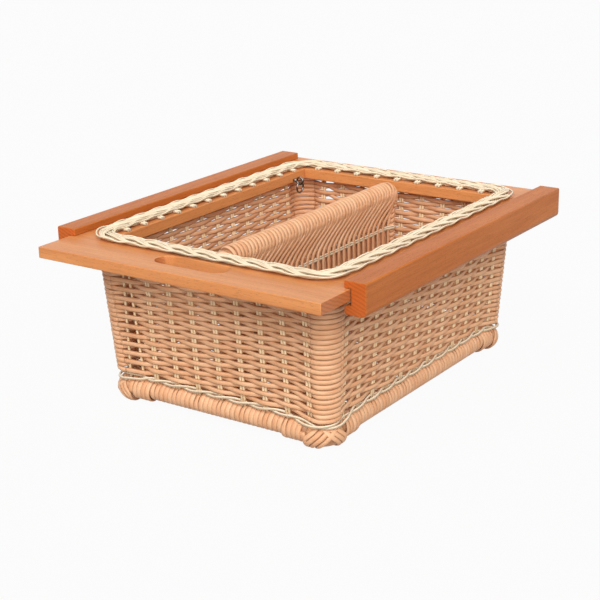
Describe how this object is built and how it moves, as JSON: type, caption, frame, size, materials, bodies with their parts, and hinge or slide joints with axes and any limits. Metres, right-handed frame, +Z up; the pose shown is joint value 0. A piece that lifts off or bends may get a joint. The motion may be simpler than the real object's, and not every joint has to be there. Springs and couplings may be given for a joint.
{
  "type": "pull-out vegetable basket",
  "caption": "Woven reed basket with a plaited border hung in a flat beech frame with a finger slot, sliding in grooved beech runners, with a drop-in woven divider and a hanging ring.",
  "frame": {"origin": "on the floor under the middle of the box round the whole object", "axes": "+X to the right of someone facing the front rail, +Y to the back, +Z up"},
  "size_m": [0.412, 0.502, 0.2028],
  "materials": {
    "beech": "clear gloss lacquer",
    "reed": "clear satin lacquer",
    "cane": "natural skin, satin",
    "steel": "bright plated"
  },
  "bodies": {
    "runners": {"left_runner": "beech", "right_runner": "beech"},
    "basket": {"front_rail": "beech", "right_rail": "beech", "back_rail": "beech", "left_rail": "beech", "dowel_front_left_outer": "beech", "dowel_front_left_inner": "beech", "dowel_back_left_outer": "beech", "dowel_back_left_inner": "beech", "dowel_front_right_outer": "beech", "dowel_front_right_inner": "beech", "dowel_back_right_outer": "beech", "dowel_back_right_inner": "beech", "front_wall": "reed", "right_wall": "reed", "back_wall": "reed", "left_wall": "reed", "wall_corner_front_right": "reed", "wall_corner_back_right": "reed", "wall_corner_back_left": "reed", "wall_corner_front_left": "reed", "front_plait": "cane", "right_plait": "cane", "back_plait": "cane", "left_plait": "cane", "plait_corner_front_right": "cane", "plait_corner_back_right": "cane", "plait_corner_back_left": "cane", "plait_corner_front_left": "cane", "front_foot_roll": "reed", "right_foot_roll": "reed", "back_foot_roll": "reed", "left_foot_roll": "reed", "front_foot_core": "reed", "right_foot_core": "reed", "back_foot_core": "reed", "left_foot_core": "reed", "foot_corner_front_right": "reed", "foot_corner_back_right": "reed", "foot_corner_back_left": "reed", "foot_corner_front_left": "reed", "twined_band": "cane", "base": "reed", "screw_eye": "steel"},
    "divider": {"divider_roll": "reed", "divider_core": "reed", "divider_panel": "reed", "divider_front_post": "reed", "divider_back_post": "reed", "divider_band": "cane"},
    "ring": {"hanging_ring": "steel"}
  },
  "joints": [
    {"name": "basket_slide", "type": "slide", "parent": "runners", "child": "basket", "axis": [0, -1, 0], "range_m": [-0.05, 0.33]},
    {"name": "divider_lift", "type": "slide", "parent": "basket", "child": "divider", "axis": [0, 0, 1], "range_m": [0, 0.2]},
    {"name": "ring_swing", "type": "hinge", "parent": "basket", "child": "ring", "pos_m": [-0.1288, 0.172, 0.18], "axis": [1, 0, 0], "range_deg": [-80, 80]}
  ]
}
